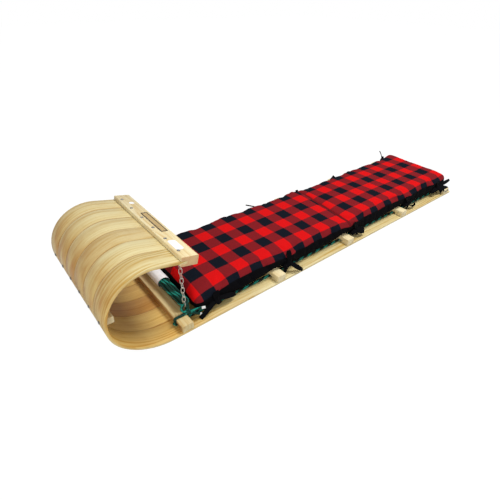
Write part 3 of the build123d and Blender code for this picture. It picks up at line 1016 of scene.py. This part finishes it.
# %% Weave group
def make_weave():
    group, given, result = new_group("Weave", [("Place", "Vector", None), ("Threads", "Float", 900.0)],
                                     [("Mask", "Float"), ("Height", "Float")])
    split, threads = parts_of(group, given.outputs["Place"]), given.outputs["Threads"]
    across = times(group, split["X"], threads)
    along = times(group, split["Y"], threads)
    twill = work_out(group, "FRACT", times(group, plus(group, across, along), 0.25))
    ribs = size_of(group, work_out(group, "SINE", times(group, across, math.pi)))
    wefts = size_of(group, work_out(group, "SINE", times(group, along, math.pi)))
    link_up(group, result, Mask=work_out(group, "LESS_THAN", twill, 0.5),
            Height=times(group, plus(group, ribs, wefts), 0.5))
    return group


weave = make_weave()
print("group", weave.name)

# %% Plaid and black cloth
check_across, check_along = 0.0531, 0.0508
top_seam = 0.0765


def stripe(tree, place, start, check):
    """1 in a black stripe and 0 in a red one; start is the middle of a black stripe."""
    turns = work_out(tree, "DIVIDE", minus(tree, place, start), 2 * check)
    off = size_of(tree, minus(tree, turns, work_out(tree, "ROUND", turns)))
    return step_up(tree, off, 0.255, 0.245)


def make_plaid():
    plaid, tree, shader = new_material("plaid_wool", Roughness=0.95, Specular_IOR_Level=0.06)
    place = attribute(tree, "flat_cloth", "Vector")
    fuzz = noise_at(tree, place, 340.0, 3.0)
    split = parts_of(tree, place)
    lengthwise = stripe(tree, split["X"], 0.2062, check_across)
    crosswise = stripe(tree, split["Y"], -0.5842, check_along)
    threads = use_group(tree, weave, {"Place": place, "Threads": 800.0}).outputs
    red, black = (0.64, 0.005, 0.006, 1), (0.003, 0.007, 0.013, 1)
    warp = mix_colours(tree, lengthwise, red, black)
    weft = mix_colours(tree, crosswise, red, black)
    mixed = mix_colours(tree, threads["Mask"], (0.172, 0.010, 0.013, 1), (0.238, 0.011, 0.015, 1))
    same = size_of(tree, minus(tree, lengthwise, crosswise))
    colour = mix_colours(tree, same, mix_colours(tree, 0.5, warp, weft), mixed)
    lint = step_up(tree, fuzz, 0.3, 0.8, 0.0, 0.16)
    colour = mix_colours(tree, lint, colour, (0.04, 0.012, 0.014, 1))
    base = mix_colours(tree, fuzz, (0.001, 0.001, 0.002, 1), (0.004, 0.004, 0.005, 1))
    # painted shade: a dark red line along the fold across the cushion's top
    painted_fold_shade = step_up(tree, attribute(tree, "painted_fold_shade"), 0.12, 0.60)
    colour = mix_colours(tree, painted_fold_shade, colour, (0.13, 0.007, 0.009, 1))
    above = step_up(tree, split["Z"], top_seam - 0.0004, top_seam + 0.0004)
    link_up(tree, shader, Base_Color=mix_colours(tree, above, base, colour))
    off_seam = size_of(tree, minus(tree, split["Z"], top_seam))
    height = plus(tree, times(tree, threads["Height"], 0.3), step_up(tree, off_seam, 0.0, 0.0022, 0.0, 1.2))
    add_bump(tree, shader, plus(tree, height, fuzz), 0.5, 0.0006)
    return plaid


plaid = make_plaid()
print("checks", check_across * 1000, "by", check_along * 1000, "mm")

# %% [markdown]
# ## The cushion
# It starts as a rounded block slightly smaller than the finished cushion, remeshed into even faces.
# Cloth simulation then blows it up a little, while its base, the fold across its middle and the
# places where the ties are sewn on are held. That gives the soft crown and the pulled-in edges.
# The fold takes up a strip of the cover, so the check starts anew behind it.

# %% Stuff the cushion
cushion_low, cushion_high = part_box("cushion")
cushion_middle = (cushion_low + cushion_high) / 2
fold_y = 0.1240
fold_slant = -0.071
fold_tuck = 0.0420
tie_places = [-0.5594, -0.2364, 0.1516, 0.5395, 0.8095]
edge_round, corner_round = 0.021, 0.025
even_face, cloth_frames = 0.0072, 20


def rounded_block(low, high):
    bm = bmesh.new()
    bmesh.ops.create_cube(bm, size=1)
    bmesh.ops.scale(bm, verts=bm.verts, vec=high - low)
    move(bm, bm.verts, (low + high) / 2)
    round_off(bm, [edge for edge in bm.edges if rise(edge) > 0.01], corner_round, 7)
    round_off(bm, [edge for edge in bm.edges if rise(edge) < 1e-5], edge_round, 5)
    return mesh_from(bm, "block")


def shown_mesh(holder):
    """The mesh of an object with its modifiers applied."""
    graph = bpy.context.evaluated_depsgraph_get()
    return bpy.data.meshes.new_from_object(holder.evaluated_get(graph))


def fold_at(x):
    """The fold crosses the cushion at a slight slant."""
    return fold_y + fold_slant * (x - cushion_middle.x)


def past_fold(point):
    """How far behind the fold a point lies."""
    return point.y - fold_at(point.x)


def on_flat_cloth(point, low, high):
    """Where a point of the block is on the flat cover: across, along, and its height on the block."""
    core = Vector([min(max(point[k], low[k] + edge_round), high[k] - edge_round) for k in range(3)])
    out = point - core
    flat = []
    for k in (0, 1):
        turned = math.atan2(abs(out[k]), max(out.z, 0.0)) if abs(out[k]) > 1e-6 else 0.0
        drop = high.z - edge_round - core.z if turned else 0.0
        flat.append(core[k] + math.copysign(edge_round * turned + drop, out[k]) if turned else point[k])
    if flat[1] > fold_at(point.x):
        flat[1] += fold_tuck
    rear = clamped((point.y - 0.72) / 0.17)
    flat[1] -= 0.025 * (point.x - 0.03) + 0.014 * rear ** 2
    return flat[0], flat[1], point.z


def hold_points(holder, rest):
    """The points that the simulation holds: the base, the fold and the places of the ties."""
    held = holder.vertex_groups.new(name="held")
    for index, point in enumerate(rest):
        grip = bell(past_fold(point), 0.006) if point.z > 0.06 else 0.0
        for y in tie_places:
            for x in (cushion_low.x + 0.006, cushion_high.x - 0.006):
                reach = (point.x - x) ** 2 + (point.y - y) ** 2 + (point.z - 0.080) ** 2
                grip = max(grip, math.exp(-reach / 0.014 ** 2))
        if point.z < 0.048:
            grip = max(grip, 0.85)
        if grip > 0.05:
            held.add([index], min(grip, 1.0), "REPLACE")


def stuff_cushion():
    shrink = Vector((0.005, 0.005, 0.004))
    low, high = cushion_low + shrink, cushion_high - shrink
    holder = add_object("cushion_block", rounded_block(low, high))
    remesh = holder.modifiers.new("even faces", "REMESH")
    remesh.mode, remesh.voxel_size, remesh.use_smooth_shade = "VOXEL", even_face, True
    even = shown_mesh(holder)
    bpy.data.objects.remove(holder)
    rest = [v.co.copy() for v in even.vertices]
    note_vectors(even, "flat_cloth", [on_flat_cloth(point, low, high) for point in rest])
    # painted shade along the fold, kept for the plaid
    note_numbers(even, "painted_fold_shade", [
        bell(past_fold(point) + 0.0005, 0.0055) if point.z > 0.07 else 0.0 for point in rest])
    holder = add_object("cushion_cloth", even)
    hold_points(holder, rest)
    cloth = holder.modifiers.new("stuffing", "CLOTH").settings
    cloth.quality = 6
    cloth.mass = 0.25
    cloth.use_pressure = True
    cloth.uniform_pressure_force = 4.0
    cloth.shrink_min = -0.03
    cloth.bending_stiffness = 1.0
    cloth.vertex_group_mass = "held"
    cloth.effector_weights.gravity = 0.0
    for number in range(1, cloth_frames + 1):
        bpy.context.scene.frame_set(number)
    blown = shown_mesh(holder)
    for vert, point in zip(blown.vertices, rest):
        swell = vert.co - point
        most = 0.010 - 0.006 * bell(past_fold(point), 0.05)
        vert.co = point + swell * min(1.0, most / max(swell.length, 1e-9))
    bpy.context.scene.frame_set(1)
    holder.modifiers.clear()
    holder.data = blown
    return holder


cushion = stuff_cushion()
print("cushion points", len(cushion.data.vertices))

# %% [markdown]
# The last pass moves each point one by one: it sinks the fold and the tie points, ruffles the edge,
# lets the base sag between the slats and the front end droop behind the first slat, and smooths the mesh
# once.

# %% Finish the cushion
def sag_at(y):
    """How far the base hangs down between two slats."""
    for front, behind in zip(slat_fronts, slat_fronts[1:] + [rear_y + 0.03]):
        start, end = front + 0.045, behind - 0.007
        if start < y < end:
            return 0.0125 * math.sin(math.pi * (y - start) / (end - start)) ** 0.5
    return 0.0


def settled(point):
    """Where a point of the blown-up cover comes to rest."""
    x, y, z = point
    across = (x - cushion_middle.x) / (cushion_high.x - cushion_middle.x)
    low_share = clamped((0.075 - z) / 0.03)
    high_share = clamped((z - 0.055) / 0.02)
    edge_share = clamped((abs(across) - 0.8) / 0.2)
    fold, soft_fold = bell(past_fold(point), 0.0045), bell(past_fold(point), 0.018)
    front = clamped((-0.50 - y) / 0.135) ** 1.6
    ruffle = noise_of(y * 21, across, 0.3) * 0.0042 + noise_of(y * 47, across * 2, 7.3) * 0.0018
    lumps = noise_of(x * 10, y * 8, 0.4) * 0.0034 + noise_of(x * 30, y * 26, 4.4) * 0.0008
    puffed = clamped((-across - 0.3) / 0.7) * bell(y + 0.42, 0.16)
    rear = clamped((y - 0.80) / 0.08)
    dip = bell(y - 0.215, 0.06)
    over_slat = max(bell(y - front_y - 0.022, 0.035) for front_y in slat_fronts[1:])
    crown = 0.0040 - 0.0055 * across + 0.013 * puffed + 0.008 * rear
    crown += max(-across, 0.0) * (0.005 * over_slat - 0.009 * dip)
    z += high_share * (crown + lumps - 0.0028 * fold - 0.0020 * soft_fold - edge_share * ruffle)
    z -= sag_at(y) * low_share + front * (0.012 + 0.004 * across) * (0.55 + 0.45 * high_share)
    out = 0.003 * low_share + 0.005 * puffed - 0.0030 * soft_fold - abs(ruffle) * 0.5
    x += math.copysign(edge_share * out, across)
    on_slat = sag_at(y) == 0 and y > slat_fronts[1] - 0.02
    lowest, highest = 0.0354 if on_slat else 0.0200, cushion_high.z + 0.011
    return Vector((x, y + 0.003 * rear, min(max(z, lowest), highest)))


def settle_cushion(holder):
    for vert in holder.data.vertices:
        vert.co = settled(vert.co)
    smooth = holder.modifiers.new("smooth cover", "SUBSURF")
    smooth.levels = smooth.render_levels = 1
    mesh = shown_mesh(holder)
    bpy.data.objects.remove(holder)
    piece = add_object("plaid_cushion", mesh)
    mesh.materials.clear()
    mesh.materials.append(plaid)
    mesh.polygons.foreach_set("use_smooth", [True] * len(mesh.polygons))
    place_piece(piece, ["cushion"])
    return piece


cushion = settle_cushion(cushion)
print("cushion faces", len(cushion.data.polygons))

# %% [markdown]
# ## The cushion's ties
# Black tapes are sewn to the cushion's edge, five on each side, pass round the side rope and are
# tied in bows. A tape is a flat strip: an edge is extruded along two smooth lines, one for each side of
# the tape, and the strip then gets its thickness. Loops stand up or flop onto the boards.

# %% Black tape
def make_black_tape():
    black, tree, shader = new_material("black_tape", Roughness=0.85, Specular_IOR_Level=0.06)
    place = own_place(tree)
    threads = use_group(tree, weave, {"Place": place, "Threads": 1100.0}).outputs
    lint = noise_at(tree, place, 600.0, 2.0)
    colour = mix_colours(tree, lint, (0.001, 0.001, 0.002, 1), (0.005, 0.005, 0.006, 1))
    link_up(tree, shader, Base_Color=colour)
    add_bump(tree, shader, threads["Height"], 0.6, 0.0005)
    return black


black_tape = make_black_tape()
tape_width, tape_thickness = 0.022, 0.0012
up_and_out = Vector((0.70, -0.30, 0.62))
print("tape", tape_width * 1000, "mm wide")

# %% Bows of tape
def points_of(edge, before):
    """The new edge's points in the order of the old edge's."""
    first = next(vert for vert in edge.verts if any(before[0] in e.verts for e in vert.link_edges))
    return [first, edge.other_vert(first)]


def tape_strip(bm, stations, width):
    """A flat tape through stations of (place, the way its width points). A short way narrows it."""
    rims = []
    for half in (-0.5, 0.5):
        route = [Vector(place) + Vector(across) * width * half for place, across in stations]
        line = mesh_of(route_curve("rim", route))
        rims.append([v.co.copy() for v in line.vertices])
        bpy.data.meshes.remove(line)
    points = [bm.verts.new(rim[0]) for rim in rims]
    edge = bm.edges.new(points)
    for places in list(zip(*rims))[1:]:
        edge = only(BMEdge, bmesh.ops.extrude_edge_only(bm, edges=[edge])["geom"])[0]
        points = points_of(edge, points)
        for vert, place in zip(points, places):
            vert.co = place


def loop_of_tape(bm, heart, tip, width, opening, face):
    """A flattened loop from the knot to a pinched tip and back; face is the way the tape faces."""
    reach = Vector(tip) - heart
    lean, lift = reach.cross(face).normalized(), face.normalized() * opening / 2
    places = [heart, heart + reach * 0.35 + lift, heart + reach * 0.82 + lift * 0.9, heart + reach * 1.05,
              heart + reach * 0.80 - lift * 0.9, heart + reach * 0.35 - lift, heart]
    shares = [0.6, 1.0, 0.95, 0.45, 0.95, 1.0, 0.6]
    tape_strip(bm, [(place, lean * share) for place, share in zip(places, shares)], width)


def end_of_tape(bm, heart, tip, width, opening, face):
    """A loose end that bows out a little on its way from the knot to its tip."""
    reach = Vector(tip) - heart
    lean, lift = reach.cross(face).normalized(), face.normalized() * opening
    places = [heart, heart + reach * 0.3 + lift * 0.8, heart + reach * 0.7 + lift, heart + reach]
    tape_strip(bm, [(place, lean) for place in places], width)


def bow(bm, side, y, shapes):
    """One tape down the cushion's side and round the rope, its knot, and the bow's loops and ends."""
    edge = cushion_high.x if side > 0 else -cushion_low.x
    heart = Vector((side * (edge - 0.002), y, 0.050))
    level = (0, 1, 0.1)
    stations = [(edge - 0.006, 0.0790), (edge + 0.0015, 0.0640), (edge - 0.002, 0.0400),
                (0.1900, 0.0235), (0.1740, 0.0200)]
    tape_strip(bm, [(Vector((side * out, y, up)), level) for out, up in stations], tape_width)
    wrap = [(heart + Vector((side * 0.0075 * math.cos(a), 0.0125 * math.sin(a), 0)), (side * -0.3, 0, 1))
            for a in [2 * math.pi * corner / 7 for corner in range(9)]]
    tape_strip(bm, wrap, tape_width)
    outward = mirrored([up_and_out], side)[0]
    for kind, tip, width, opening in shapes:
        on_edge = outward.cross(Vector(tip) - heart).normalized()
        face = on_edge + outward * 0.75 if kind == "ring" else outward
        (end_of_tape if kind == "end" else loop_of_tape)(bm, heart, tip, width, opening, face)


# for each tie from the front: loops and ends, with their tips, widths and how far they open;
# a ring is a loop that lies open on its edge
left_bows = [
    [("loop", (0.199, -0.482, 0.030), 0.019, 0.012), ("loop", (0.203, -0.548, 0.026), 0.020, 0.012),
     ("loop", (0.200, -0.566, 0.074), 0.017, 0.008), ("end", (0.210, -0.629, 0.012), 0.015, 0.006)],
    [("loop", (0.237, -0.199, 0.017), 0.016, 0.013), ("loop", (0.199, -0.243, 0.104), 0.019, 0.010),
     ("loop", (0.198, -0.262, 0.034), 0.017, 0.010), ("end", (0.206, -0.268, 0.014), 0.012, 0.004)],
    [("loop", (0.215, 0.196, 0.026), 0.028, 0.012), ("loop", (0.204, 0.122, 0.034), 0.020, 0.012),
     ("loop", (0.204, 0.128, 0.088), 0.015, 0.008), ("end", (0.206, 0.160, 0.020), 0.015, 0.004)],
    [("ring", (0.212, 0.594, 0.025), 0.016, 0.024), ("loop", (0.200, 0.512, 0.038), 0.020, 0.010),
     ("loop", (0.203, 0.510, 0.084), 0.015, 0.008), ("end", (0.203, 0.545, 0.016), 0.010, 0.004)],
    [("loop", (0.204, 0.922, 0.064), 0.017, 0.010), ("loop", (0.226, 0.874, 0.020), 0.022, 0.012),
     ("loop", (0.224, 0.896, 0.025), 0.026, 0.014),
     ("loop", (0.200, 0.766, 0.032), 0.020, 0.010), ("end", (0.214, 0.850, 0.012), 0.014, 0.004)]]
right_bows = [
    [("loop", (-0.188, -0.510, 0.020), 0.022, 0.010), ("loop", (-0.192, -0.604, 0.022), 0.022, 0.010),
     ("end", (-0.205, -0.590, 0.012), 0.018, 0.004)],
    [("loop", (-0.196, -0.190, 0.022), 0.020, 0.012), ("loop", (-0.184, -0.286, 0.026), 0.022, 0.010),
     ("end", (-0.210, -0.250, 0.012), 0.016, 0.004)],
    [("loop", (-0.190, 0.100, 0.022), 0.022, 0.010),
     ("loop", (-0.205, 0.190, 0.020), 0.020, 0.012), ("end", (-0.200, 0.160, 0.012), 0.018, 0.004)],
    [("loop", (-0.192, 0.590, 0.020), 0.022, 0.012),
     ("loop", (-0.216, 0.482, 0.036), 0.022, 0.010), ("end", (-0.200, 0.560, 0.012), 0.016, 0.004)],
    [("loop", (-0.196, 0.760, 0.020), 0.022, 0.010), ("loop", (-0.205, 0.868, 0.022), 0.022, 0.012)]]
# short ends that stand up over the far edge: start, tip, width and opening
standing_ends = [((-0.141, -0.110, 0.089), (-0.166, -0.152, 0.103), 0.005, 0.003),
                 ((-0.156, 0.150, 0.074), (-0.157, 0.150, 0.090), 0.013, 0.004),
                 ((-0.157, 0.400, 0.072), (-0.155, 0.418, 0.090), 0.017, 0.006),
                 ((-0.156, 0.824, 0.078), (-0.155, 0.834, 0.101), 0.014, 0.004),
                 ((-0.156, 0.828, 0.092), (-0.165, 0.804, 0.136), 0.005, 0.004)]


def tie_bows(name, side, bows):
    bm = bmesh.new()
    for y, shapes in zip(tie_places, bows):
        bow(bm, side, y, shapes)
    for start, tip, width, opening in standing_ends if side < 0 else ():
        end_of_tape(bm, Vector(start), tip, width, opening, up_and_out)
    bmesh.ops.solidify(bm, geom=bm.faces, thickness=tape_thickness)
    bmesh.ops.recalc_face_normals(bm, faces=bm.faces)
    return finish_piece(f"{name}_cushion_ties", bm, [black_tape], [f"cushion_ties_{name}"], 50)


ties = [tie_bows("left", 1, left_bows), tie_bows("right", -1, right_bows)]
print("bows", 2 * len(tie_places), "faces", len(ties[0].data.polygons))

# %% [markdown]
# ## The camera
# It stands at the sled's front left, about one and a half metres from the point it looks at, and
# looks down by 35 degrees. It is rolled by a little under a degree.

# %% Camera
camera_data = bpy.data.cameras.new("camera")
camera_data.lens, camera_data.sensor_width = 26.78, 36.0
camera = add_object("camera", camera_data)
camera.location = (0.9600, -1.0430, 0.8689)
look = Vector((-0.0201, -0.2430, -0.0153)) - camera.location
camera.rotation_mode = "QUATERNION"
camera.rotation_quaternion = (look.to_track_quat("-Z", "Y").to_matrix()
                              @ Matrix.Rotation(math.radians(0.88), 3, "Z")).to_quaternion()
bpy.context.scene.camera = camera
print("camera looks down by", round(math.degrees(math.asin(-look.z / look.length)), 1))

# %% [markdown]
# ## Floor and light
# A pale floor keeps a soft shadow under the sled. For camera rays it is mostly a plain white glow,
# so the background is white without more light on the object. A large soft lamp hangs three metres
# up, above the sled's rear and a little to its left. A weaker one stands in front, to its left, and
# gives no glare on the varnish. Their level is one at which a colour renders about as it is written.

# %% Stage
def seen_by_camera(tree):
    return add_node(tree, "LightPath").outputs["Is Camera Ray"]


def make_floor():
    floor_mat, tree, shader = new_material("white_floor", Roughness=0.95, Specular_IOR_Level=0.0)
    seen = seen_by_camera(tree)
    shade = mix_colours(tree, seen, (0.60, 0.60, 0.60, 1), (0.98, 0.98, 0.98, 1))
    link_up(tree, shader, Base_Color=shade)
    glow = add_node(tree, "Emission", None, {"Color": (1, 1, 1, 1), "Strength": 1.04})
    share = times(tree, seen, 0.94)
    both = add_node(tree, "MixShader", None, {0: share, 1: shader.outputs[0], 2: glow.outputs[0]})
    link_up(tree, tree.nodes["Material Output"], Surface=both.outputs[0])
    bm = bmesh.new()
    bmesh.ops.create_grid(bm, x_segments=1, y_segments=1, size=12)
    floor = add_object("floor", mesh_from(bm, "floor"))
    floor.data.materials.append(floor_mat)


def add_lamp(name, place, target, size, power):
    data = bpy.data.lights.new(name, "AREA")
    data.shape, data.size, data.energy = "DISK", size, power
    lamp = add_object(name, data)
    lamp.location = place
    lamp.rotation_mode = "QUATERNION"
    lamp.rotation_quaternion = (Vector(target) - Vector(place)).to_track_quat("-Z", "Y")
    return lamp


make_floor()
world = bpy.data.worlds.new("studio")
world.use_nodes = True
sky = world.node_tree.nodes["Background"]
sky.inputs["Color"].default_value = (1, 1, 1, 1)
seen = seen_by_camera(world.node_tree)
link_up(world.node_tree, sky, Strength=work_out(world.node_tree, "MULTIPLY_ADD", seen, 0.55, 0.45))
bpy.context.scene.world = world
bpy.context.scene.view_settings.view_transform = "Standard"
add_lamp("key", (0.6, 1.05, 3.0), (0, -0.3, 0.1), 1.3, 81)
add_lamp("fill", (1.9, -2.5, 1.4), (0, -0.3, 0.1), 1.4, 30).visible_glossy = False
print("floor, world and two lamps")
